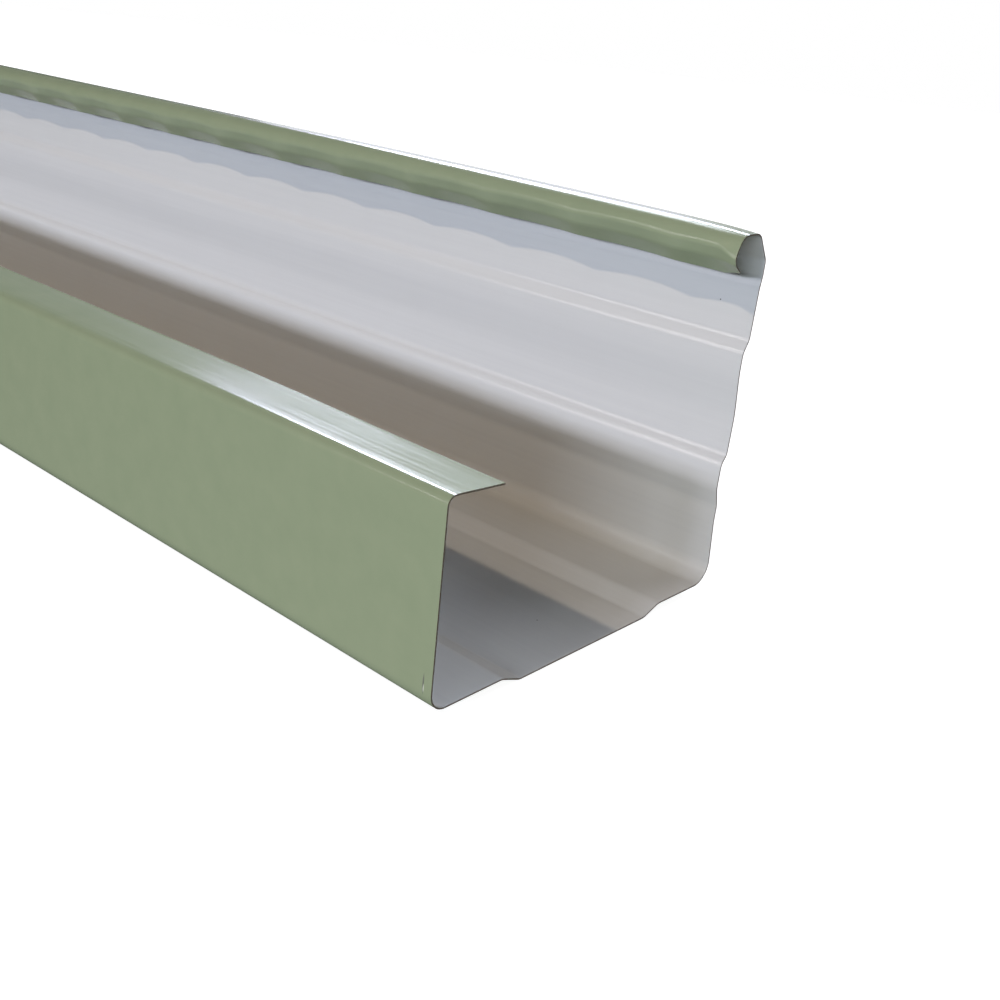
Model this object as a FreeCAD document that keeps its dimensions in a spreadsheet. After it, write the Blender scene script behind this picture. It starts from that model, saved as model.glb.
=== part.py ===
import FreeCAD, Part
import enum
import math
import os
import Sketcher

# Square gutter with a beaded high front: one straight stock length, roll-formed from painted steel sheet.
#
# Row frame, millimetres: X runs along the gutter, Y across it with the plain back wall on +Y and the beaded
# front wall on -Y, Z up. The origin lies on the floor, midway along the length and midway across the width.
#
# The section is one continuous strip. Its outer face is drawn as flats that meet at corners, and each corner
# is rounded by the bend that the rolls give it. The sheet's thickness lies on the inner side of that face.
# From the back forwards the strip makes the lip, fold, back wall, rear base panel, step down, middle base
# panel, step up, front base panel, foot, front wall with two grooves, bead, curl and tuck.
#
# A corner is placed by its depth, counted forwards from the back wall's outer face, and by its height,
# counted upwards from the floor that the middle base panel rests on.

NODE = "gutter_section"

DRIVING_SIZES = (
    ("gutter_length", 2400.0, "stock length along X"),
    ("sheet_thickness", 0.48, "steel core with both coats"),
    ("overall_width", 125.0, "back wall's outer face to the bead's front face"),
    ("back_height", 60.9, "floor to the top of the fold over the back wall"),
    ("front_height", 115.8, "floor to the top of the bead"),
    ("lip_width", 19.6, "back wall's outer face to the lip's cut edge"),
    ("lip_fall", 0.2, "drop of the lip from the fold to its cut edge"),
    ("fold_radius", 2.9, "outer radius of the fold between lip and back wall"),
    ("rear_corner_radius", 5.6, "outer radius of the bend between back wall and base"),
    ("rear_panel", 26.8, "width of the rear base panel"),
    ("middle_panel", 56.6, "width of the middle base panel, on which the gutter rests"),
    ("base_drop", 2.6, "depth of the middle base panel below the other two"),
    ("step_run", 7.1, "width of each sloping step beside the middle panel"),
    ("step_radius", 5.0, "outer radius of the bends at the steps"),
    ("front_corner_radius", 6.6, "outer radius of the bend between base and foot"),
    ("foot_height", 23.8, "floor to the bend where the foot meets the front wall"),
    ("foot_flare", 2.2, "how far the foot's lower end stands forward of its upper end"),
    ("foot_radius", 18.0, "radius of the bend between foot and front wall"),
    ("wall_flare", 2.1, "how far the front wall's top stands forward of its lower end"),
    ("lower_groove_rise", 13.6, "foot's upper end to the middle of the lower groove"),
    ("lower_groove_width", 13.4, "mouth of the lower groove"),
    ("upper_groove_drop", 22.9, "front wall's top to the middle of the upper groove"),
    ("upper_groove_width", 15.0, "mouth of the upper groove"),
    ("groove_bed", 4.6, "flat bottom of each groove"),
    ("groove_depth", 2.0, "depth of each groove from the front wall's outer face"),
    ("groove_radius", 4.2, "radius of the bends of each groove"),
    ("bead_height", 18.8, "top of the bead down to the bend where the front wall ends"),
    ("bead_reach", 0.6, "how far the bead's face stands forward of the front wall's top"),
    ("bead_rise", 3.6, "height over which the bead comes forward"),
    ("bead_blend_radius", 7.0, "radius of the two bends below the bead's face"),
    ("shoulder_drop", 9.4, "top of the bead down to the bend between its face and shoulder"),
    ("shoulder_run", 5.3, "how far the shoulder leans back up to the bead's top"),
    ("shoulder_radius", 5.5, "outer radius of the bend between face and shoulder"),
    ("crown_radius", 3.6, "outer radius of the bend between shoulder and top"),
    ("bead_width", 17.2, "bead's front face to the back of the curl"),
    ("curl_radius", 4.0, "outer radius of the curl behind the bead's top"),
    ("curl_back", 0.5, "straight back of the curl, from its bend down to the corner at the tuck"),
    ("tuck_radius", 1.1, "outer radius of the bend where the tuck starts"),
    ("tuck_run", 5.4, "how far the tuck returns forwards"),
    ("tuck_drop", 7.9, "how far the tuck falls to its cut edge"),
)

# The top of the front wall, where the bead begins, and the grooves' middles, as heights.
WALL_TOP = "(sizes.front_height - sizes.bead_height)"
LOWER_GROOVE = "(sizes.foot_height + sizes.lower_groove_rise)"
UPPER_GROOVE = f"({WALL_TOP} - sizes.upper_groove_drop)"

# Sketcher counts the ends of a line or an arc from one.
End = enum.IntEnum("End", ("FIRST", "LAST"))


def make_sheet(doc):
    """Write the driving sizes into a spreadsheet, one row each: the meaning, then the value with its alias."""
    sheet = doc.addObject("Spreadsheet::Sheet", "sizes")
    for row, (alias, value, meaning) in enumerate(DRIVING_SIZES, start=1):
        sheet.set(f"A{row}", meaning)
        sheet.set(f"B{row}", str(value))
        sheet.setAlias(f"B{row}", alias)
    doc.recompute()
    return sheet


def evaluate(sheet, expression):
    """Value of an expression in the sheet's sizes, as a plain number."""
    value = sheet.evalExpression(expression)
    return float(getattr(value, "Value", value))


def front_wall_depth(height):
    """Depth of the front wall's leaning outer face at a height."""
    return (
        "(sizes.overall_width - sizes.bead_reach - sizes.wall_flare"
        f" * ({WALL_TOP} - {height}) / ({WALL_TOP} - sizes.foot_height))"
    )


def groove_corners(name, middle, width):
    """Corners of one groove in the front wall, from its lower edge up."""
    lower_edge = f"({middle} - {width} / 2)"
    lower_bed = f"({middle} - sizes.groove_bed / 2)"
    upper_bed = f"({middle} + sizes.groove_bed / 2)"
    upper_edge = f"({middle} + {width} / 2)"
    bend = "sizes.groove_radius"
    return (
        (f"{name}_lower_edge", front_wall_depth(lower_edge), lower_edge, bend),
        (f"{name}_lower_bed", f"{front_wall_depth(lower_bed)} - sizes.groove_depth", lower_bed, bend),
        (f"{name}_upper_bed", f"{front_wall_depth(upper_bed)} - sizes.groove_depth", upper_bed, bend),
        (f"{name}_upper_edge", front_wall_depth(upper_edge), upper_edge, bend),
    )


def section_corners():
    """Corners of the strip's outer face in order, each as (name, depth, height, bend radius).

    All but the name are expressions in the sheet's sizes. The strip's two cut edges have no bend.
    """
    panel_height = "sizes.base_drop"
    rear_step_foot = "sizes.rear_panel + sizes.step_run"
    front_step_foot = f"{rear_step_foot} + sizes.middle_panel"
    wall_top = "sizes.overall_width - sizes.bead_reach"
    foot_top = f"{wall_top} - sizes.wall_flare"
    curl_depth = "sizes.overall_width - sizes.bead_width"
    tuck_top = "sizes.front_height - sizes.curl_radius - sizes.curl_back"
    return (
        ("lip_edge", "sizes.lip_width", "sizes.back_height - sizes.lip_fall", None),
        ("fold", "0", "sizes.back_height", "sizes.fold_radius"),
        ("rear_corner", "0", panel_height, "sizes.rear_corner_radius"),
        ("rear_step_top", "sizes.rear_panel", panel_height, "sizes.step_radius"),
        ("rear_step_foot", rear_step_foot, "0", "sizes.step_radius"),
        ("front_step_foot", front_step_foot, "0", "sizes.step_radius"),
        ("front_step_top", f"{front_step_foot} + sizes.step_run", panel_height, "sizes.step_radius"),
        ("front_corner", f"{foot_top} + sizes.foot_flare", panel_height, "sizes.front_corner_radius"),
        ("foot_top", foot_top, "sizes.foot_height", "sizes.foot_radius"),
        *groove_corners("lower_groove", LOWER_GROOVE, "sizes.lower_groove_width"),
        *groove_corners("upper_groove", UPPER_GROOVE, "sizes.upper_groove_width"),
        ("wall_top", wall_top, WALL_TOP, "sizes.bead_blend_radius"),
        ("bead_face", "sizes.overall_width", f"{WALL_TOP} + sizes.bead_rise", "sizes.bead_blend_radius"),
        ("shoulder", "sizes.overall_width", "sizes.front_height - sizes.shoulder_drop", "sizes.shoulder_radius"),
        ("crown", "sizes.overall_width - sizes.shoulder_run", "sizes.front_height", "sizes.crown_radius"),
        ("curl", curl_depth, "sizes.front_height", "sizes.curl_radius"),
        ("tuck", curl_depth, tuck_top, "sizes.tuck_radius"),
        ("tuck_edge", f"{curl_depth} + sizes.tuck_run", f"{tuck_top} - sizes.tuck_drop", None),
    )


def bend_arc(before, corner, after, radius):
    """Round the corner between two neighbours: the arc, whether it turns left, and its two tangent points."""
    backwards = (before - corner).normalize()
    forwards = (after - corner).normalize()
    half_angle = math.acos(backwards.dot(forwards)) / 2
    setback = radius / math.tan(half_angle)
    start = corner + backwards * setback
    end = corner + forwards * setback
    centre = corner + (backwards + forwards).normalize() * (radius / math.sin(half_angle))
    circle = Part.Circle(centre, FreeCAD.Vector(0, 0, 1), radius)
    turns_left = backwards.cross(forwards).z < 0
    first, last = (start, end) if turns_left else (end, start)
    arc = Part.ArcOfCircle(circle, circle.parameter(first), circle.parameter(last))
    return arc, turns_left, start, end


def tie(sketch, name, expression, constraint):
    """Add a constraint whose value follows an expression in the sheet's sizes."""
    sketch.renameConstraint(sketch.addConstraint(constraint), name)
    sketch.setExpression(f"Constraints.{name}", expression)


def draw_section(sketch, sheet):
    """Draw the strip's outer face as flats joined by tangent bends, and tie each corner to the sheet."""
    corners = [
        (name, f"sizes.overall_width / 2 - ({depth})", height, bend)
        for name, depth, height, bend in section_corners()
    ]
    places = [
        FreeCAD.Vector(evaluate(sheet, across), evaluate(sheet, height), 0)
        for _, across, height, _ in corners
    ]

    flats = []
    bends = []
    tangents = []
    flat_start = places[0]
    for index in range(1, len(corners) - 1):
        radius = evaluate(sheet, corners[index][3])
        arc, turns_left, start, end = bend_arc(places[index - 1], places[index], places[index + 1], radius)
        flats.append(sketch.addGeometry(Part.LineSegment(flat_start, start), False))
        bends.append(sketch.addGeometry(arc, False))
        entry, leaving = (End.FIRST, End.LAST) if turns_left else (End.LAST, End.FIRST)
        tangents.append((flats[-1], End.LAST, bends[-1], entry))
        tangents.append((bends[-1], leaving, bends[-1] + 1, End.FIRST))
        flat_start = end
    flats.append(sketch.addGeometry(Part.LineSegment(flat_start, places[-1]), False))
    sketch.addConstraint([Sketcher.Constraint("Tangent", *joint) for joint in tangents])

    held_points = [(flats[0], End.FIRST)]
    for index, bend_geometry in enumerate(bends, start=1):
        name, _, _, bend = corners[index]
        corner_point = (sketch.addGeometry(Part.Point(places[index]), True), End.FIRST)
        sketch.addConstraint(Sketcher.Constraint("PointOnObject", *corner_point, flats[index - 1]))
        sketch.addConstraint(Sketcher.Constraint("PointOnObject", *corner_point, flats[index]))
        radius = Sketcher.Constraint("Radius", bend_geometry, evaluate(sheet, bend))
        tie(sketch, f"{name}_bend", bend, radius)
        held_points.append(corner_point)
    held_points.append((flats[-1], End.LAST))

    for (name, across, height, _), place, point in zip(corners, places, held_points):
        tie(sketch, f"{name}_across", across, Sketcher.Constraint("DistanceX", *point, place.x))
        tie(sketch, f"{name}_height", height, Sketcher.Constraint("DistanceY", *point, place.y))


def make_gutter(doc, sheet):
    """Body of the gutter: the drawn face, thickened inwards to the sheet, run along the stock length."""
    body = doc.addObject("PartDesign::Body", NODE)
    body.Label = NODE

    section = body.newObject("Sketcher::SketchObject", "section")
    end_plane = next(feature for feature in body.Origin.OriginFeatures if feature.Role == "YZ_Plane")
    section.AttachmentSupport = [(end_plane, "")]
    section.MapMode = "FlatFace"
    doc.recompute()
    draw_section(section, sheet)

    strip = body.newObject("PartDesign::SubShapeBinder", "strip")
    strip.Support = [(section, ("",))]
    strip.OffsetFill = True
    strip.OffsetOpenResult = True
    strip.setExpression("Offset", "sizes.sheet_thickness")
    doc.recompute()

    run = body.newObject("PartDesign::Pad", "run")
    run.Profile = strip
    run.SideType = "Symmetric"
    run.setExpression("Length", "sizes.gutter_length")
    body.Tip = run
    body.Placement = FreeCAD.Placement()
    doc.recompute()
    return body


def check(doc, bodies):
    """Raise an error if any object failed, or if a body is not one valid solid."""
    for item in doc.Objects:
        if "Invalid" in item.State or "Error" in item.State:
            raise RuntimeError(f"{item.Name} did not build: {item.State}")
    for body in bodies:
        if body.Shape.isNull() or not body.Shape.isValid() or len(body.Shape.Solids) != 1:
            raise RuntimeError(f"{body.Label} is not one valid solid")


def export(bodies):
    """Write each body to parts/LABEL.step."""
    os.makedirs("parts", exist_ok=True)
    for body in bodies:
        body.Shape.exportStep(f"parts/{body.Label}.step")
        box = body.Shape.BoundBox
        print(f"{body.Label}: {box.XLength:.2f} x {box.YLength:.2f} x {box.ZLength:.2f} mm, "
              f"{body.Shape.Volume:.0f} mm3")


document = FreeCAD.newDocument("gutter")
sizes = make_sheet(document)
gutter = make_gutter(document, sizes)
check(document, [gutter])
export([gutter])
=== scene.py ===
"""Looks of a stock length of roll-formed rain gutter: the coated sheet, the studio light and the camera.

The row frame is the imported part's: X runs along the gutter, Y across it with the plain back wall on +Y and
the beaded front wall on -Y, Z up, with the floor at zero. Sizes of the sheet are in millimetres, and
everything that goes into Blender is in metres.
"""

import logging
from dataclasses import dataclass, field
from enum import IntEnum
from typing import Any

import bpy
import numpy as np
from mathutils import Matrix, Vector


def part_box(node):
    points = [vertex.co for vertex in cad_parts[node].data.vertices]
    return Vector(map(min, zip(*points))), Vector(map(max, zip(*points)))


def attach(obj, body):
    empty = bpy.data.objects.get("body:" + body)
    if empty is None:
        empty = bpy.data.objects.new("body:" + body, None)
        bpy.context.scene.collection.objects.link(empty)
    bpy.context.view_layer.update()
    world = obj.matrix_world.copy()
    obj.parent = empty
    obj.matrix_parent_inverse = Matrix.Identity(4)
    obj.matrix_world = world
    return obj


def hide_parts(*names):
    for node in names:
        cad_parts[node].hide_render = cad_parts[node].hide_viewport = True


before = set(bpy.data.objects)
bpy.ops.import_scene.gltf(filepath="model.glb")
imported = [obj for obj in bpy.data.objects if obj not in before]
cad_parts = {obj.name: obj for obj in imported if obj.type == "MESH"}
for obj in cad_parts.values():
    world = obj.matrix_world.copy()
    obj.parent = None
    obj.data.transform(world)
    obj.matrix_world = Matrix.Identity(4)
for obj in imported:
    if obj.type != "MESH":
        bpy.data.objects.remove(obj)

LOG = logging.getLogger("gutter")
NODE = "gutter_section"
MM = 0.001
WHITE = (1.0, 1.0, 1.0, 1.0)
Array = np.ndarray


class Coat(IntEnum):
    """Material slots of the sheet, in the order in which the mesh holds them."""

    OUTER = 0
    INNER = 1
    CUT = 2


class Corner(IntEnum):
    """Corners of the strip's section that its marks refer to, counted from the lip's cut edge."""

    FOLD = 2
    BEAD_FOOT = 18
    CROWN = 21
    CURL = 22
    CREASE = 23


def linear(code: str) -> tuple[float, float, float, float]:
    """Turn an sRGB hex colour into linear light.

    Each channel c from 0 to 1 becomes c / 12.92 below 0.04045, and ((c + 0.055) / 1.055) to the 2.4 above.

    Args:
        code: six hex digits, with or without the leading mark.

    Returns:
        Red, green and blue in linear light, and an alpha of one.
    """
    digits = code.lstrip("#")
    channels = np.array([int(digits[start:start + 2], 16) for start in (0, 2, 4)]) / 255
    light = np.where(channels <= 0.04045, channels / 12.92, ((channels + 0.055) / 1.055) ** 2.4)
    return (*map(float, light), 1.0)


def smooth(values: Array, start: float, end: float) -> Array:
    """Rise from 0 at start to 1 at end along the cubic 3t^2 - 2t^3, flat on both sides.

    Args:
        values: where the rise is read.
        start: value at which it leaves 0.
        end: value at which it reaches 1.

    Returns:
        The rise at each value.
    """
    share = np.clip((values - start) / (end - start), 0.0, 1.0)
    return share * share * (3.0 - 2.0 * share)


def add_node(tree: bpy.types.NodeTree, kind: str, inputs: dict[Any, Any] | None = None,
             **settings: Any) -> bpy.types.Node:
    """Add a node with its settings, socket values and links.

    Args:
        tree: the material's or world's node tree.
        kind: the node's Blender type name.
        inputs: by input name or number, a plain value to set or an output socket to link.
        settings: the node's own properties.

    Returns:
        The new node.
    """
    node = tree.nodes.new(kind)
    for name, value in settings.items():
        setattr(node, name, value)
    for key, value in (inputs or {}).items():
        if isinstance(value, bpy.types.NodeSocket):
            tree.links.new(value, node.inputs[key])
        else:
            node.inputs[key].default_value = value
    return node


def new_material(name: str) -> tuple[bpy.types.Material, bpy.types.NodeTree]:
    """Make an empty node material.

    Args:
        name: the material's name.

    Returns:
        The material and its node tree, which has no nodes yet.
    """
    material = bpy.data.materials.new(name)
    material.use_nodes = True
    material.node_tree.nodes.clear()
    return material, material.node_tree


@dataclass(frozen=True)
class Spot:
    """One small mark on a coat, placed in millimetres from the lower back corner of the -X cut end.

    It is counted along the gutter, forwards from the back wall's outer face, and up from the floor. Its
    reach is half its size along each of them, and at its rim and its core it starts and ends its fade, on
    a scale from 0 at its reach to 1 in its middle.
    """

    paint: str
    along: float
    depth: float
    height: float
    reach: tuple[float, float, float]
    rim: float
    core: float

    def over(self, tree: bpy.types.NodeTree, position: bpy.types.NodeSocket, corner: Vector,
             colour: bpy.types.NodeSocket) -> bpy.types.NodeSocket:
        """Lay the mark over a colour.

        The mark's strength is 1 less the distance from its middle, counted in reaches, and then faded.

        Args:
            tree: the material's node tree.
            position: the object coordinates.
            corner: the lower back corner of the -X cut end, in metres.
            colour: the colour under the mark.

        Returns:
            The colour with the mark on it.
        """
        local = add_node(tree, "ShaderNodeMapping", {
            "Vector": position,
            "Location": corner + Vector((self.along, -self.depth, self.height)) * MM,
            "Scale": Vector(self.reach) * MM,
        }, vector_type="TEXTURE")
        ball = add_node(tree, "ShaderNodeTexGradient", {"Vector": local.outputs["Vector"]},
                        gradient_type="SPHERICAL")
        strength = add_node(tree, "ShaderNodeMapRange", {
            "Value": ball.outputs["Fac"], "From Min": self.rim, "From Max": self.core,
        })
        marked = add_node(tree, "ShaderNodeMix", {
            "Factor": strength.outputs["Result"], "A": colour, "B": linear(self.paint),
        }, data_type="RGBA")
        return marked.outputs["Result"]


@dataclass(frozen=True)
class TopCoat:
    """Satin polyester top coat, coil-coated on galvanised steel: even sage green with a soft sheen.

    Coil coating leaves a very even film, so the eye gets an almost flat colour, a soft broad sheen on the
    flats, a crisp bright line on tight bends, and faint streaks along the strip. By the cut a short scuff
    runs up the back wall: a dark rub with a pale burr of lifted paint in it.
    """

    paint: str = "#929D81"
    darker_paint: str = "#89967A"
    index: float = 1.5
    roughness: float = 0.20
    gloss_swing: float = 0.05
    streak_width: float = 0.9 * MM
    streak_length: float = 60.0 * MM
    streak_detail: float = 2.0
    streak_roughness: float = 0.6
    streak_low: float = 0.3
    streak_high: float = 0.7
    mottle_size: float = 9.0 * MM
    mottle_detail: float = 3.0
    mottle_roughness: float = 0.55
    peel_size: float = 1.4 * MM
    peel_height: float = 0.004 * MM
    peel_detail: float = 1.0
    scuff: tuple[Spot, ...] = (
        Spot("#6C7066", 2.9, 0.0, 10.3, (0.34, 1.0, 3.6), 0.05, 0.5),
        Spot("#C4CABC", 2.75, 0.0, 9.2, (0.26, 1.0, 1.5), 0.1, 0.6),
    )

    def material(self, corner: Vector) -> bpy.types.Material:
        """Build the coat: colour with faint mottling, streaked gloss, fine orange peel and the scuff.

        Args:
            corner: the lower back corner of the -X cut end, in metres.

        Returns:
            The material.
        """
        material, tree = new_material("sage_polyester_top_coat")
        place = add_node(tree, "ShaderNodeTexCoord").outputs["Object"]
        drawn = add_node(tree, "ShaderNodeMapping", {
            "Vector": place, "Scale": (1 / self.streak_length, 1 / self.streak_width, 1 / self.streak_width),
        })
        streaks = add_node(tree, "ShaderNodeTexNoise", {
            "Vector": drawn.outputs["Vector"], "Scale": 1.0, "Detail": self.streak_detail,
            "Roughness": self.streak_roughness,
        })
        mottle = add_node(tree, "ShaderNodeTexNoise", {
            "Vector": place, "Scale": 1 / self.mottle_size, "Detail": self.mottle_detail,
            "Roughness": self.mottle_roughness,
        })
        tint = add_node(tree, "ShaderNodeMix", {
            "Factor": mottle.outputs["Fac"], "A": linear(self.darker_paint), "B": linear(self.paint),
        }, data_type="RGBA")
        colour = tint.outputs["Result"]
        for spot in self.scuff:
            colour = spot.over(tree, place, corner, colour)
        gloss = add_node(tree, "ShaderNodeMapRange", {
            "Value": streaks.outputs["Fac"], "From Min": self.streak_low, "From Max": self.streak_high,
            "To Min": self.roughness - self.gloss_swing, "To Max": self.roughness + self.gloss_swing,
        })
        peel = add_node(tree, "ShaderNodeTexNoise", {
            "Vector": place, "Scale": 1 / self.peel_size, "Detail": self.peel_detail,
        })
        relief = add_node(tree, "ShaderNodeBump", {
            "Height": peel.outputs["Fac"], "Distance": self.peel_height, "Strength": 1.0,
        })
        shader = add_node(tree, "ShaderNodeBsdfPrincipled", {
            "Base Color": colour, "Roughness": gloss.outputs["Result"], "IOR": self.index,
            "Normal": relief.outputs["Normal"],
        })
        add_node(tree, "ShaderNodeOutputMaterial", {"Surface": shader.outputs["BSDF"]})
        return material


@dataclass(frozen=True)
class BackingCoat:
    """Thin pale grey epoxy backing coat on the strip's other side, rolled on and baked.

    It is even and a little cool, so the eye gets a pale surface that takes up the colour of what it faces.
    Its sheen is soft, with faint streaks along the strip, and a few specks of grit lie in it near the cut.
    """

    paint: str = "#CDCFCF"
    darker_paint: str = "#C6C8C9"
    index: float = 1.5
    roughness: float = 0.18
    streak_width: float = 1.5 * MM
    streak_length: float = 120.0 * MM
    streak_detail: float = 2.0
    streak_roughness: float = 0.6
    grit: tuple[Spot, ...] = (
        Spot("#4A4B4D", 11.9, 123.7, 91.2, (0.35, 0.35, 0.35), 0.2, 0.6),
        Spot("#4A4B4D", 18.5, 62.7, 0.5, (0.35, 0.35, 0.35), 0.2, 0.6),
        Spot("#4A4B4D", 20.3, 29.0, 3.1, (0.35, 0.35, 0.35), 0.2, 0.6),
    )

    def material(self, corner: Vector) -> bpy.types.Material:
        """Build the coat: pale grey with faint lengthwise streaks and the specks of grit.

        Args:
            corner: the lower back corner of the -X cut end, in metres.

        Returns:
            The material.
        """
        material, tree = new_material("grey_backing_coat")
        place = add_node(tree, "ShaderNodeTexCoord").outputs["Object"]
        drawn = add_node(tree, "ShaderNodeMapping", {
            "Vector": place, "Scale": (1 / self.streak_length, 1 / self.streak_width, 1 / self.streak_width),
        })
        streaks = add_node(tree, "ShaderNodeTexNoise", {
            "Vector": drawn.outputs["Vector"], "Scale": 1.0, "Detail": self.streak_detail,
            "Roughness": self.streak_roughness,
        })
        tint = add_node(tree, "ShaderNodeMix", {
            "Factor": streaks.outputs["Fac"], "A": linear(self.darker_paint), "B": linear(self.paint),
        }, data_type="RGBA")
        colour = tint.outputs["Result"]
        for speck in self.grit:
            colour = speck.over(tree, place, corner, colour)
        shader = add_node(tree, "ShaderNodeBsdfPrincipled", {
            "Base Color": colour, "Roughness": self.roughness, "IOR": self.index,
        })
        add_node(tree, "ShaderNodeOutputMaterial", {"Surface": shader.outputs["BSDF"]})
        return material


@dataclass(frozen=True)
class ShearedEdge:
    """Sheared edge of the coated steel: torn core between its two coats.

    The eye gets a thin brownish grey line, a little dull metal in it, broken along its length by lighter
    shreds of coat.
    """

    core: str = "#94877C"
    torn_coat: str = "#A9A8A0"
    metallic: float = 0.1
    roughness: float = 0.5
    tear_length: float = 1.2 * MM
    tear_detail: float = 3.0
    tear_low: float = 0.5
    tear_high: float = 0.7

    def material(self) -> bpy.types.Material:
        """Build the edge: dull steel, broken along its length by lighter torn coat.

        Returns:
            The material.
        """
        material, tree = new_material("sheared_steel_edge")
        place = add_node(tree, "ShaderNodeTexCoord").outputs["Object"]
        tears = add_node(tree, "ShaderNodeTexNoise", {
            "Vector": place, "Scale": 1 / self.tear_length, "Detail": self.tear_detail,
        })
        torn = add_node(tree, "ShaderNodeMapRange", {
            "Value": tears.outputs["Fac"], "From Min": self.tear_low, "From Max": self.tear_high,
        })
        tint = add_node(tree, "ShaderNodeMix", {
            "Factor": torn.outputs["Result"], "A": linear(self.core), "B": linear(self.torn_coat),
        }, data_type="RGBA")
        shader = add_node(tree, "ShaderNodeBsdfPrincipled", {
            "Base Color": tint.outputs["Result"], "Metallic": self.metallic, "Roughness": self.roughness,
        })
        add_node(tree, "ShaderNodeOutputMaterial", {"Surface": shader.outputs["BSDF"]})
        return material


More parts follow.
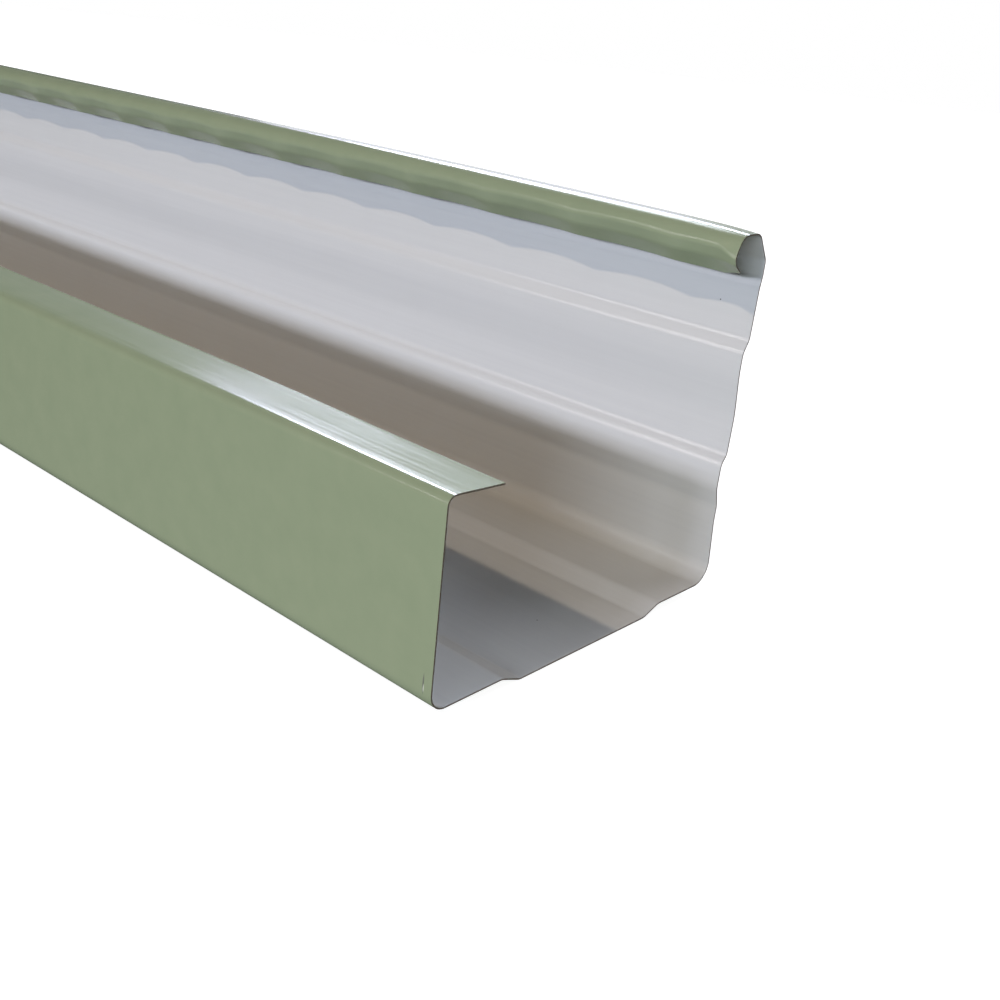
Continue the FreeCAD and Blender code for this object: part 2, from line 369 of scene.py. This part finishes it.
@dataclass(frozen=True)
class StripSection:
    """Outer face of the roll-formed strip across the gutter, in millimetres.

    A corner is placed by its depth from the back wall's outer face and its height above the floor, and is
    rounded by the bend that the rolls give it. The first group of sizes has the part's own names, and all
    but the tuck's radius have its values too. The second group is the looks' alone: it gives the drawn
    section the real one's softer lip, grooves, curl and tuck.
    """

    overall_width: float
    front_height: float
    sheet_thickness: float = 0.48
    back_height: float = 60.9
    lip_width: float = 19.6
    lip_fall: float = 0.2
    fold_radius: float = 2.9
    rear_corner_radius: float = 5.6
    rear_panel: float = 26.8
    middle_panel: float = 56.6
    base_drop: float = 2.6
    step_run: float = 7.1
    step_radius: float = 5.0
    front_corner_radius: float = 6.6
    foot_height: float = 23.8
    foot_flare: float = 2.2
    foot_radius: float = 18.0
    wall_flare: float = 2.1
    lower_groove_rise: float = 13.6
    lower_groove_width: float = 13.4
    upper_groove_drop: float = 22.9
    upper_groove_width: float = 15.0
    groove_bed: float = 4.6
    groove_depth: float = 2.0
    groove_radius: float = 4.2
    bead_height: float = 18.8
    bead_reach: float = 0.6
    bead_rise: float = 3.6
    bead_blend_radius: float = 7.0
    shoulder_drop: float = 9.4
    shoulder_run: float = 5.3
    shoulder_radius: float = 5.5
    crown_radius: float = 3.6
    bead_width: float = 17.2
    curl_radius: float = 4.0
    curl_back: float = 0.5
    tuck_radius: float = 2.4
    tuck_run: float = 5.4
    tuck_drop: float = 7.9

    lip_roll_run: float = 4.0
    lip_roll_fall: float = 0.09
    lip_roll_radius: float = 60.0
    upper_ease: float = 8.0
    upper_ease_radius: float = 36.0
    upper_lift: float = 1.4
    lower_ease: float = 2.0
    lower_ease_radius: float = 8.0
    lower_lift: float = 2.0
    lower_rise: float = 1.4
    curl_ease_radius: float = 6.2
    curl_lean: float = 2.4
    tuck_belly: float = 0.27
    tuck_belly_fall: float = 0.47
    tuck_belly_radius: float = 5.0

    def wall_depth(self, height: Array) -> Array:
        """Depth of the front wall's leaning face: it comes forward in proportion to its height.

        Args:
            height: heights above the floor.

        Returns:
            The face's depth at each height.
        """
        wall_top = self.front_height - self.bead_height
        lean = self.wall_flare / (wall_top - self.foot_height)
        return self.overall_width - self.bead_reach - lean * (wall_top - height)

    def groove(self, middle: float, width: float, lift: float, ease: float, ease_radius: float,
               rise: float = 0.0) -> Array:
        """Four corners of a groove: two on the wall's face and two on its bed, which lies deeper.

        Args:
            middle: height of the groove's middle.
            width: height of its mouth.
            lift: how much further up the bed reaches than it is drawn.
            ease: how much lower the lower flank starts.
            ease_radius: radius of the lower flank's two bends.
            rise: how much higher the whole upper flank lies.

        Returns:
            Rows of depth, height and bend radius, from the lower edge up.
        """
        drawn = middle + np.array([-width, -self.groove_bed, self.groove_bed, width]) / 2
        heights = drawn + np.array([-ease, 0.0, rise + lift, rise])
        on_bed = np.array([False, True, True, False])
        depths = np.where(on_bed, self.wall_depth(drawn) - self.groove_depth, self.wall_depth(heights))
        radii = np.array([ease_radius, ease_radius, self.groove_radius, self.groove_radius])
        return np.column_stack([depths, heights, radii])

    def corners(self) -> Array:
        """Place the strip's corners.

        Returns:
            Rows of depth, height and bend radius, from the lip's cut edge round to the tuck's.
        """
        wall_top_height = self.front_height - self.bead_height
        wall_top = self.overall_width - self.bead_reach
        foot_top = wall_top - self.wall_flare
        rear_foot = self.rear_panel + self.step_run
        front_foot = rear_foot + self.middle_panel
        curl = self.overall_width - self.bead_width
        tuck_top = self.front_height - self.curl_radius - self.curl_back
        belly_depth = curl + self.tuck_belly * self.tuck_run
        belly_height = tuck_top - self.tuck_drop * self.tuck_belly_fall
        panels = np.array([
            [self.lip_width, self.back_height - self.lip_fall, 0.0],
            [self.lip_roll_run, self.back_height, self.lip_roll_radius],
            [0.0, self.back_height - self.lip_roll_fall, self.fold_radius],
            [0.0, self.base_drop, self.rear_corner_radius],
            [self.rear_panel, self.base_drop, self.step_radius],
            [rear_foot, 0.0, self.step_radius],
            [front_foot, 0.0, self.step_radius],
            [front_foot + self.step_run, self.base_drop, self.step_radius],
            [foot_top + self.foot_flare, self.base_drop, self.front_corner_radius],
            [foot_top, self.foot_height, self.foot_radius],
        ])
        bead = np.array([
            [wall_top, wall_top_height, self.bead_blend_radius],
            [self.overall_width, wall_top_height + self.bead_rise, self.bead_blend_radius],
            [self.overall_width, self.front_height - self.shoulder_drop, self.shoulder_radius],
            [self.overall_width - self.shoulder_run, self.front_height, self.crown_radius],
            [curl + self.curl_lean, self.front_height, self.curl_ease_radius],
            [curl, tuck_top, self.tuck_radius],
            [belly_depth, belly_height, self.tuck_belly_radius],
            [curl + self.tuck_run, tuck_top - self.tuck_drop, 0.0],
        ])
        lower = self.groove(
            self.foot_height + self.lower_groove_rise, self.lower_groove_width,
            self.lower_lift, self.lower_ease, self.lower_ease_radius, self.lower_rise,
        )
        upper = self.groove(
            wall_top_height - self.upper_groove_drop, self.upper_groove_width,
            self.upper_lift, self.upper_ease, self.upper_ease_radius,
        )
        return np.vstack([panels, lower, upper, bead])

    def outline(self, step: float) -> tuple[Array, Array, Array]:
        """Round every corner by its bend and sample the outer face.

        At a corner with unit directions a and b to its neighbours, and h half the angle between them, the
        bend of radius r touches both flats at r / tan h, and its centre lies at r / sin h on the bisector.
        The radius then turns evenly from one touching point to the other.

        Args:
            step: largest turn between samples of a bend, in radians.

        Returns:
            Points as rows of depth and height, at each the unit vector out of the gutter, and for every
            corner the number of the point in the middle of its bend.
        """
        corners = self.corners()
        place, radius = corners[:, :2], corners[1:-1, 2]
        back = place[:-2] - place[1:-1]
        back /= np.linalg.norm(back, axis=1, keepdims=True)
        ahead = place[2:] - place[1:-1]
        ahead /= np.linalg.norm(ahead, axis=1, keepdims=True)
        half = np.arccos((back * ahead).sum(1)) / 2
        bisector = back + ahead
        bisector /= np.linalg.norm(bisector, axis=1, keepdims=True)
        centre = place[1:-1] + bisector * (radius / np.sin(half))[:, None]
        first = place[1:-1] + back * (radius / np.tan(half))[:, None] - centre
        side = np.sign(back[:, 0] * ahead[:, 1] - back[:, 1] * ahead[:, 0])
        turn = -side * (np.pi - 2 * half)
        count = np.maximum(3, np.ceil(np.abs(turn) / step).astype(int) + 1)
        bend = np.repeat(np.arange(len(count)), count)
        order = np.arange(count.sum()) - np.repeat(np.cumsum(count) - count, count)
        angle = turn[bend] * order / (count[bend] - 1)
        spoke = np.column_stack([
            np.cos(angle) * first[bend, 0] - np.sin(angle) * first[bend, 1],
            np.sin(angle) * first[bend, 0] + np.cos(angle) * first[bend, 1],
        ])
        outward = -side[bend, None] * spoke / radius[bend, None]
        points = np.vstack([place[:1], centre[bend] + spoke, place[-1:]])
        normals = np.vstack([outward[:1], outward, outward[-1:]])
        middles = np.concatenate([[0], np.cumsum(count) - count // 2, [len(points) - 1]])
        return points, normals, middles


@dataclass(frozen=True)
class RollMarks:
    """How the strip departs from its section along its length, in millimetres.

    The free edge of the curl is pressed in short strokes, so its depth follows the size of a sine, and the
    crease above it rides up and down a little. A cut frees the stress that the rolls left in the strip:
    towards each cut end the bead's top sinks and the lip droops, and over the last few millimetres the
    crease drops and the tuck swings out.
    """

    pitch: float = 36.9
    phase: float = 22.0
    edge_press: float = 1.1
    edge_swing: float = 1.7
    crease_swing: float = 0.5
    sink: float = 2.1
    sink_length: float = 115.0
    end_sink: float = 0.6
    end_sink_length: float = 8.0
    droop: float = 0.95
    droop_length: float = 110.0
    crease_drop: float = 1.7
    tuck_rise: float = 1.6
    tuck_swing: float = 1.5
    spring_length: float = 7.0

    def scallop(self, along: Array) -> Array:
        """Size of a sine of the distance from the cut end: 0 at the scallop's sharp lows, 1 between them."""
        return np.abs(np.sin(np.pi * (along - self.phase) / self.pitch))

    def shift(self, along: Array, run: Array, corner: Array) -> tuple[Array, Array]:
        """How far each point of the section moves at each station.

        Args:
            along: distance of each station from the nearer cut end.
            run: distance of each section point from the lip's cut edge, along the strip.
            corner: the same distance for the middle of every corner's bend.

        Returns:
            The move towards the back wall and the move up, each stations x section points.
        """
        lip = np.interp(run, [0.0, corner[Corner.FOLD]], [1.0, 0.0])
        bead = smooth(run, corner[Corner.BEAD_FOOT], corner[Corner.CROWN])
        tuck = np.interp(run, [corner[Corner.CREASE], run[-1]], [0.0, 1.0])
        crease = smooth(run, corner[Corner.CURL], corner[Corner.CREASE]) * (1.0 - tuck)
        scallop = self.scallop(along)
        spring = 1.0 - smooth(along, 0.0, self.spring_length)
        sink = self.sink * np.exp(-along / self.sink_length)
        sink = sink + self.end_sink * np.exp(-along / self.end_sink_length)
        droop = self.droop * (1.0 - smooth(along, 0.0, self.droop_length))
        swing = (self.edge_press - self.edge_swing * scallop) * (1.0 - spring) + self.tuck_swing * spring
        ride = self.crease_swing * (scallop - 0.5) * (1.0 - spring) - self.crease_drop * spring
        across = np.outer(swing, tuck)
        rise = np.outer(ride, crease) + np.outer(self.tuck_rise * spring, tuck)
        rise = rise - np.outer(sink, bead) - np.outer(droop, lip)
        return across, rise


@dataclass
class GutterSheet:
    """The whole gutter as one closed sheet: outer coat, inner coat and the cut edges between them.

    Its sizes are in millimetres, except for the part's lowest and highest corners, which are in metres.
    """

    low: Vector
    high: Vector
    marks: RollMarks = field(default_factory=RollMarks)
    top_coat: TopCoat = field(default_factory=TopCoat)
    backing_coat: BackingCoat = field(default_factory=BackingCoat)
    sheared_edge: ShearedEdge = field(default_factory=ShearedEdge)
    bend_step: float = float(np.radians(7.5))
    fine_length: float = 480.0
    fine_divisions: int = 12
    coarse_divisions: int = 3
    end_spacing: float = 0.7

    def __post_init__(self) -> None:
        """Take the section's overall sizes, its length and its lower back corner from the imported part."""
        self.section = StripSection(
            overall_width=(self.high.y - self.low.y) / MM,
            front_height=(self.high.z - self.low.z) / MM,
        )
        self.length = (self.high.x - self.low.x) / MM
        self.corner = Vector((self.low.x, self.high.y, self.low.z))

    def stations(self) -> Array:
        """Choose where along the gutter the section is laid down.

        The stations lie on whole fractions of the scallop's pitch, so that on the -X half each scallop's
        sharp low is on one. Within the fine length of the -X end they are closer, and closest where a cut
        end has sprung.

        Returns:
            Distances from the -X cut end, in millimetres.
        """
        fine_step = self.marks.pitch / self.fine_divisions
        coarse_step = self.marks.pitch / self.coarse_divisions
        fine = np.arange(self.marks.phase % fine_step, self.fine_length, fine_step)
        coarse = np.arange(self.marks.phase % coarse_step, self.length, coarse_step)
        grid = np.concatenate([fine, coarse])
        ending = np.arange(0.0, self.marks.spring_length, self.end_spacing)
        inside = grid[(grid > self.marks.spring_length) & (grid < self.length - self.marks.spring_length)]
        return np.unique(np.round(np.concatenate([ending, inside, self.length - ending]), 3))

    def surfaces(self) -> tuple[Array, Array, Array]:
        """Outer and inner faces of the sheet on a grid of stations and section points.

        The outer face is the section carried along X and moved by the marks of rolls and shear. The unit
        vector out of it is the cross product of its slopes along X and around the section. The inner face
        lies one thickness inside it, with each point in its own station's plane.

        Returns:
            Outer points, inner points and outward unit vectors, stations x section points x 3, in metres.
        """
        profile, outward, middles = self.section.outline(self.bend_step)
        gap = np.linalg.norm(np.diff(profile, axis=0), axis=1)
        run = np.concatenate([[0.0], np.cumsum(gap)])
        stations = self.stations()
        nearer = np.minimum(stations, self.length - stations)
        across, rise = self.marks.shift(nearer, run, run[middles])
        centre = (self.low + self.high) / 2
        outer = np.empty((len(stations), len(profile), 3))
        outer[..., 0] = self.low.x + stations[:, None] * MM
        outer[..., 1] = centre.y + (self.section.overall_width / 2 - profile[:, 0] + across) * MM
        outer[..., 2] = self.low.z + (profile[:, 1] + rise) * MM
        along = np.gradient(outer, stations * MM, axis=0)
        around = np.zeros_like(outer)
        around[..., 1] = outward[:, 1] + np.gradient(across, run, axis=1)
        around[..., 2] = outward[:, 0] + np.gradient(rise, run, axis=1)
        normal = np.cross(along, around)
        normal /= np.linalg.norm(normal, axis=2, keepdims=True)
        inner = outer - normal * self.section.sheet_thickness * MM
        inner[..., 0] = outer[..., 0]
        return outer, inner, normal

    def faces(self, rows: int, columns: int) -> tuple[Array, ...]:
        """Number the corners of all quads, which turn anticlockwise when seen from outside the sheet.

        Points are numbered station by station, those of the outer face first. The two faces are grids of
        rows by columns. Each cut edge is a row of quads between the same border of both grids.

        Args:
            rows: number of stations.
            columns: number of section points.

        Returns:
            Quads of the outer face, the inner face, the lip's edge, the tuck's edge, and the -X and +X ends.
        """
        outer = np.arange(rows * columns).reshape(rows, columns)
        inner = outer + rows * columns

        def quads(*corners: Array) -> Array:
            """Stack four grids of point numbers into rows of quads."""
            return np.stack([corner.ravel() for corner in corners], axis=1)

        return (
            quads(outer[:-1, :-1], outer[1:, :-1], outer[1:, 1:], outer[:-1, 1:]),
            quads(inner[:-1, :-1], inner[:-1, 1:], inner[1:, 1:], inner[1:, :-1]),
            quads(outer[:-1, 0], inner[:-1, 0], inner[1:, 0], outer[1:, 0]),
            quads(outer[:-1, -1], outer[1:, -1], inner[1:, -1], inner[:-1, -1]),
            quads(outer[0, :-1], outer[0, 1:], inner[0, 1:], inner[0, :-1]),
            quads(outer[-1, :-1], inner[-1, :-1], inner[-1, 1:], outer[-1, 1:]),
        )

    def shading(self, outer: Array, normal: Array, faces: tuple[Array, ...]) -> Array:
        """Give every quad's corners their normals, smooth on both faces and square to the cut edges.

        On the lip's and the tuck's edge the normal is the unit step from the section's next point to the
        one on the edge, and at the two ends it is the X axis, outwards.

        Args:
            outer: points of the outer face, stations x section points x 3.
            normal: outward unit vectors of the outer face, of the same shape.
            faces: the quads, as the method of that name gives them.

        Returns:
            A unit vector for each corner of each quad, in the quads' order.
        """
        rows, columns, _ = outer.shape
        outside, inside, lip, tuck, near, far = faces
        flat = normal.reshape(-1, 3)
        lip_out = outer[:, 0] - outer[:, 1]
        lip_out /= np.linalg.norm(lip_out, axis=1, keepdims=True)
        tuck_out = outer[:, -1] - outer[:, -2]
        tuck_out /= np.linalg.norm(tuck_out, axis=1, keepdims=True)
        return np.concatenate([
            flat[outside].reshape(-1, 3),
            -flat[inside - rows * columns].reshape(-1, 3),
            lip_out[lip % (rows * columns) // columns].reshape(-1, 3),
            tuck_out[tuck % (rows * columns) // columns].reshape(-1, 3),
            np.tile([-1.0, 0.0, 0.0], (near.size, 1)),
            np.tile([1.0, 0.0, 0.0], (far.size, 1)),
        ])

    def build(self) -> bpy.types.Object:
        """Join both faces and the cut edges into one closed mesh, with its coats and its normals.

        Returns:
            The piece, which rides on the part's one body and stands for its one node.
        """
        outer, inner, normal = self.surfaces()
        rows, columns, _ = outer.shape
        faces = self.faces(rows, columns)
        coats = (Coat.OUTER, Coat.INNER, Coat.CUT, Coat.CUT, Coat.CUT, Coat.CUT)
        points = np.concatenate([outer.reshape(-1, 3), inner.reshape(-1, 3)])
        corners = np.concatenate(faces)

        mesh = bpy.data.meshes.new(NODE + "_sheet")
        mesh.vertices.add(len(points))
        mesh.vertices.foreach_set("co", points.astype(np.float32).ravel())
        mesh.loops.add(corners.size)
        mesh.loops.foreach_set("vertex_index", corners.astype(np.int32).ravel())
        mesh.polygons.add(len(corners))
        mesh.polygons.foreach_set("loop_start", np.arange(0, corners.size, 4, dtype=np.int32))
        coat = np.repeat(coats, [len(quads) for quads in faces])
        mesh.polygons.foreach_set("material_index", coat.astype(np.int32))
        mesh.materials.append(self.top_coat.material(self.corner))
        mesh.materials.append(self.backing_coat.material(self.corner))
        mesh.materials.append(self.sheared_edge.material())
        mesh.update(calc_edges=True)
        mesh.validate()
        mesh.normals_split_custom_set(self.shading(outer, normal, faces))

        piece = bpy.data.objects.new(NODE + "_sheet", mesh)
        bpy.context.scene.collection.objects.link(piece)
        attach(piece, "root")
        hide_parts(NODE)
        return piece


def heading(bearing: float, elevation: float) -> Vector:
    """Unit vector of a direction: X and Y are the sine and cosine of the bearing, shortened by the rise.

    Args:
        bearing: angle from +Y towards +X, in degrees.
        elevation: angle above the floor, in degrees.

    Returns:
        The unit vector.
    """
    turn, rise = np.radians(bearing), np.radians(elevation)
    return Vector((np.sin(turn) * np.cos(rise), np.cos(turn) * np.cos(rise), np.sin(rise)))


@dataclass(frozen=True)
class Softbox:
    """A flat studio lamp that faces a target, placed by bearing and elevation in degrees and by distance.

    Distance, width and height are in metres, and the radiance is in watts per square metre and steradian.
    """

    name: str
    bearing: float
    elevation: float
    distance: float
    width: float
    height: float
    radiance: float
    colour: tuple[float, float, float]

    def build(self, target: Vector) -> bpy.types.Object:
        """Hang the lamp. A flat lamp's power is pi times its radiance and its area.

        Args:
            target: what the lamp faces.

        Returns:
            The lamp.
        """
        towards = heading(self.bearing, self.elevation)
        light = bpy.data.lights.new(self.name, "AREA")
        light.shape = "RECTANGLE"
        light.size = self.width
        light.size_y = self.height
        light.energy = self.radiance * np.pi * self.width * self.height
        light.color = self.colour
        lamp = bpy.data.objects.new(self.name, light)
        lamp.location = target + towards * self.distance
        lamp.rotation_euler = towards.to_track_quat("Z", "Y").to_euler()
        lamp.visible_camera = False
        bpy.context.scene.collection.objects.link(lamp)
        return lamp


@dataclass(frozen=True)
class HardLamp:
    """A small distant lamp, placed by bearing and elevation, with its apparent size, all in degrees.

    Its strength is in watts per square metre.
    """

    name: str
    bearing: float
    elevation: float
    spread: float
    strength: float
    colour: tuple[float, float, float]

    def build(self) -> bpy.types.Object:
        """Hang the lamp, turned towards the scene's middle from its own direction.

        Returns:
            The lamp.
        """
        towards = heading(self.bearing, self.elevation)
        light = bpy.data.lights.new(self.name, "SUN")
        light.angle = np.radians(self.spread)
        light.energy = self.strength
        light.color = self.colour
        lamp = bpy.data.objects.new(self.name, light)
        lamp.location = towards
        lamp.rotation_euler = towards.to_track_quat("Z", "Y").to_euler()
        bpy.context.scene.collection.objects.link(lamp)
        return lamp


@dataclass(frozen=True)
class Studio:
    """Plain pale floor, plain surroundings, and four groups of lamps.

    A long low strip of light stands behind the back wall, brightest in its middle, and lights the front
    wall's inside. A small panel over its end draws the bright lines along the grooves near the cut. A small
    warm lamp above it casts the crisp shadows of lip, bead and back wall. A row of upright panels beyond the
    far end gives the lip, the fold and the bead their white sheen.
    """

    lamps: tuple[Softbox, ...] = (
        Softbox("strip_middle", 0.0, 13.0, 6.0, 1.05, 0.40, 113.0, (0.79, 0.822, 1.0)),
        Softbox("strip_left", -20.0, 13.0, 6.0, 2.12, 0.40, 44.0, (0.847, 0.925, 1.0)),
        Softbox("strip_right", 31.0, 13.0, 6.0, 2.30, 0.40, 8.0, (1.0, 0.92, 0.95)),
        Softbox("panel_glint", 32.0, 24.0, 6.0, 0.90, 0.80, 6.0, (1.0, 0.95, 0.95)),
        Softbox("panel_bright", 130.0, 31.0, 5.0, 0.90, 1.23, 31.0, (0.792, 0.832, 1.0)),
        Softbox("panel_top", 130.0, 46.0, 5.0, 0.90, 1.40, 8.0, (0.86, 0.92, 1.0)),
        Softbox("panel_side", 148.0, 31.0, 5.0, 1.82, 1.23, 14.7, (0.775, 0.838, 1.0)),
        Softbox("panel_low", 141.0, 6.0, 5.0, 2.66, 1.05, 0.9, (0.95, 0.97, 1.0)),
        Softbox("panel_foot", 136.0, 18.0, 5.0, 2.02, 1.05, 2.1, (0.72, 0.65, 1.0)),
        Softbox("panel_wide", 186.0, 31.0, 5.0, 4.18, 1.23, 7.7, (1.0, 0.956, 0.972)),
    )
    spot: HardLamp = HardLamp("spot", 0.0, 46.0, 1.6, 0.986, (1.0, 0.80, 0.591))
    above: float = 0.02
    below: tuple[float, float, float, float] = (0.42, 0.46, 0.36, 1.0)
    below_aim: tuple[float, float, float] = (0.0, 0.5, -0.866)
    below_focus: float = 3.0
    floor_radius: float = 5.0
    floor_glow: float = 0.93
    floor_paint: str = "#8A8A8A"
    floor_gap: float = 0.2 * MM
    floor_sides: int = 96

    def build(self, target: Vector) -> None:
        """Make the surroundings, the floor and the lamps.

        Args:
            target: what the lamps face.
        """
        self.surroundings()
        self.floor()
        for lamp in self.lamps:
            lamp.build(target)
        self.spot.build()

    def surroundings(self) -> None:
        """White behind the object; towards it nearly dark above, with the floor's glow below.

        With d the direction and c the glow's aim, the glow is its colour times e to the f(d.c - 1), where f
        is its focus.
        """
        world = bpy.data.worlds.new("studio")
        world.use_nodes = True
        tree = world.node_tree
        tree.nodes.clear()
        place = add_node(tree, "ShaderNodeTexCoord")
        direction = place.outputs["Generated"]
        towards = add_node(tree, "ShaderNodeVectorMath", {0: direction, 1: self.below_aim},
                           operation="DOT_PRODUCT")
        power = add_node(tree, "ShaderNodeMath", {
            0: towards.outputs["Value"], 1: self.below_focus, 2: -self.below_focus,
        }, operation="MULTIPLY_ADD")
        falloff = add_node(tree, "ShaderNodeMath", {0: power.outputs[0]}, operation="EXPONENT")
        axes = add_node(tree, "ShaderNodeSeparateXYZ", {"Vector": direction})
        downward = add_node(tree, "ShaderNodeMath", {0: axes.outputs["Z"], 1: 0.0}, operation="LESS_THAN")
        below = add_node(tree, "ShaderNodeMath", {0: falloff.outputs[0], 1: downward.outputs[0]},
                         operation="MULTIPLY")
        bounce = add_node(tree, "ShaderNodeBackground", {"Color": self.below, "Strength": below.outputs[0]})
        dim = add_node(tree, "ShaderNodeBackground", {"Color": WHITE, "Strength": self.above})
        around = add_node(tree, "ShaderNodeAddShader", {0: bounce.outputs[0], 1: dim.outputs[0]})
        ray = add_node(tree, "ShaderNodeLightPath")
        behind = add_node(tree, "ShaderNodeBackground", {"Color": WHITE, "Strength": 1.0})
        both = add_node(tree, "ShaderNodeMixShader", {
            0: ray.outputs["Is Camera Ray"], 1: around.outputs[0], 2: behind.outputs[0],
        })
        add_node(tree, "ShaderNodeOutputWorld", {"Surface": both.outputs[0]})
        bpy.context.scene.world = world

    def floor(self) -> bpy.types.Object:
        """Lay a round floor just under the object: matt, pale and lit from within.

        It shows the object's shadow but throws no light back, which the surroundings' glow does instead.

        Returns:
            The floor.
        """
        material, tree = new_material("studio_floor")
        paint = add_node(tree, "ShaderNodeBsdfDiffuse", {"Color": linear(self.floor_paint)})
        glow = add_node(tree, "ShaderNodeEmission", {"Color": WHITE, "Strength": self.floor_glow})
        both = add_node(tree, "ShaderNodeAddShader", {0: paint.outputs[0], 1: glow.outputs[0]})
        add_node(tree, "ShaderNodeOutputMaterial", {"Surface": both.outputs[0]})
        turn = np.linspace(0.0, 2 * np.pi, self.floor_sides, endpoint=False)
        rim = np.column_stack([
            np.cos(turn) * self.floor_radius, np.sin(turn) * self.floor_radius,
            np.full(self.floor_sides, -self.floor_gap),
        ])
        mesh = bpy.data.meshes.new("studio_floor")
        mesh.from_pydata(rim.tolist(), [], [list(range(self.floor_sides))])
        mesh.materials.append(material)
        floor = bpy.data.objects.new("studio_floor", mesh)
        floor.visible_diffuse = False
        floor.visible_glossy = False
        bpy.context.scene.collection.objects.link(floor)
        return floor


@dataclass(frozen=True)
class Viewpoint:
    """The camera, placed in metres from the lower back corner of the -X cut end, its lens in millimetres."""

    offset: tuple[float, float, float] = (-0.1673, 0.1809, 0.1613)
    ahead: tuple[float, float, float] = (0.5961, -0.7092, -0.3764)
    upward: tuple[float, float, float] = (0.3218, -0.2185, 0.9212)
    lens: float = 42.33
    sensor: float = 36.0
    nearest: float = 0.01

    def build(self, low: Vector, high: Vector) -> bpy.types.Object:
        """Set up the camera and make it the scene's own.

        Args:
            low: lowest corner of the object.
            high: highest corner of the object.

        Returns:
            The camera.
        """
        back = -Vector(self.ahead).normalized()
        right = Vector(self.upward).cross(back).normalized()
        up = back.cross(right)
        data = bpy.data.cameras.new("camera")
        data.lens = self.lens
        data.sensor_width = self.sensor
        data.clip_start = self.nearest
        camera = bpy.data.objects.new("camera", data)
        turn = Matrix((right, up, back)).transposed().to_4x4()
        camera.matrix_world = Matrix.Translation(Vector((low.x, high.y, low.z)) + Vector(self.offset)) @ turn
        bpy.context.scene.collection.objects.link(camera)
        bpy.context.scene.camera = camera
        return camera


def main() -> None:
    """Build the camera, the sheet and the studio from the part's lowest and highest corners."""
    logging.basicConfig(level=logging.INFO, format="%(name)s: %(message)s")
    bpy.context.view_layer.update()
    low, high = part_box(NODE)
    Viewpoint().build(low, high)
    sheet = GutterSheet(low, high).build()
    LOG.info("%s: %d faces", sheet.name, len(sheet.data.polygons))
    Studio().build(Vector((low.x, 0.0, 0.0)))
    bpy.context.scene.view_settings.view_transform = "Standard"


if __name__ == "__main__":
    main()
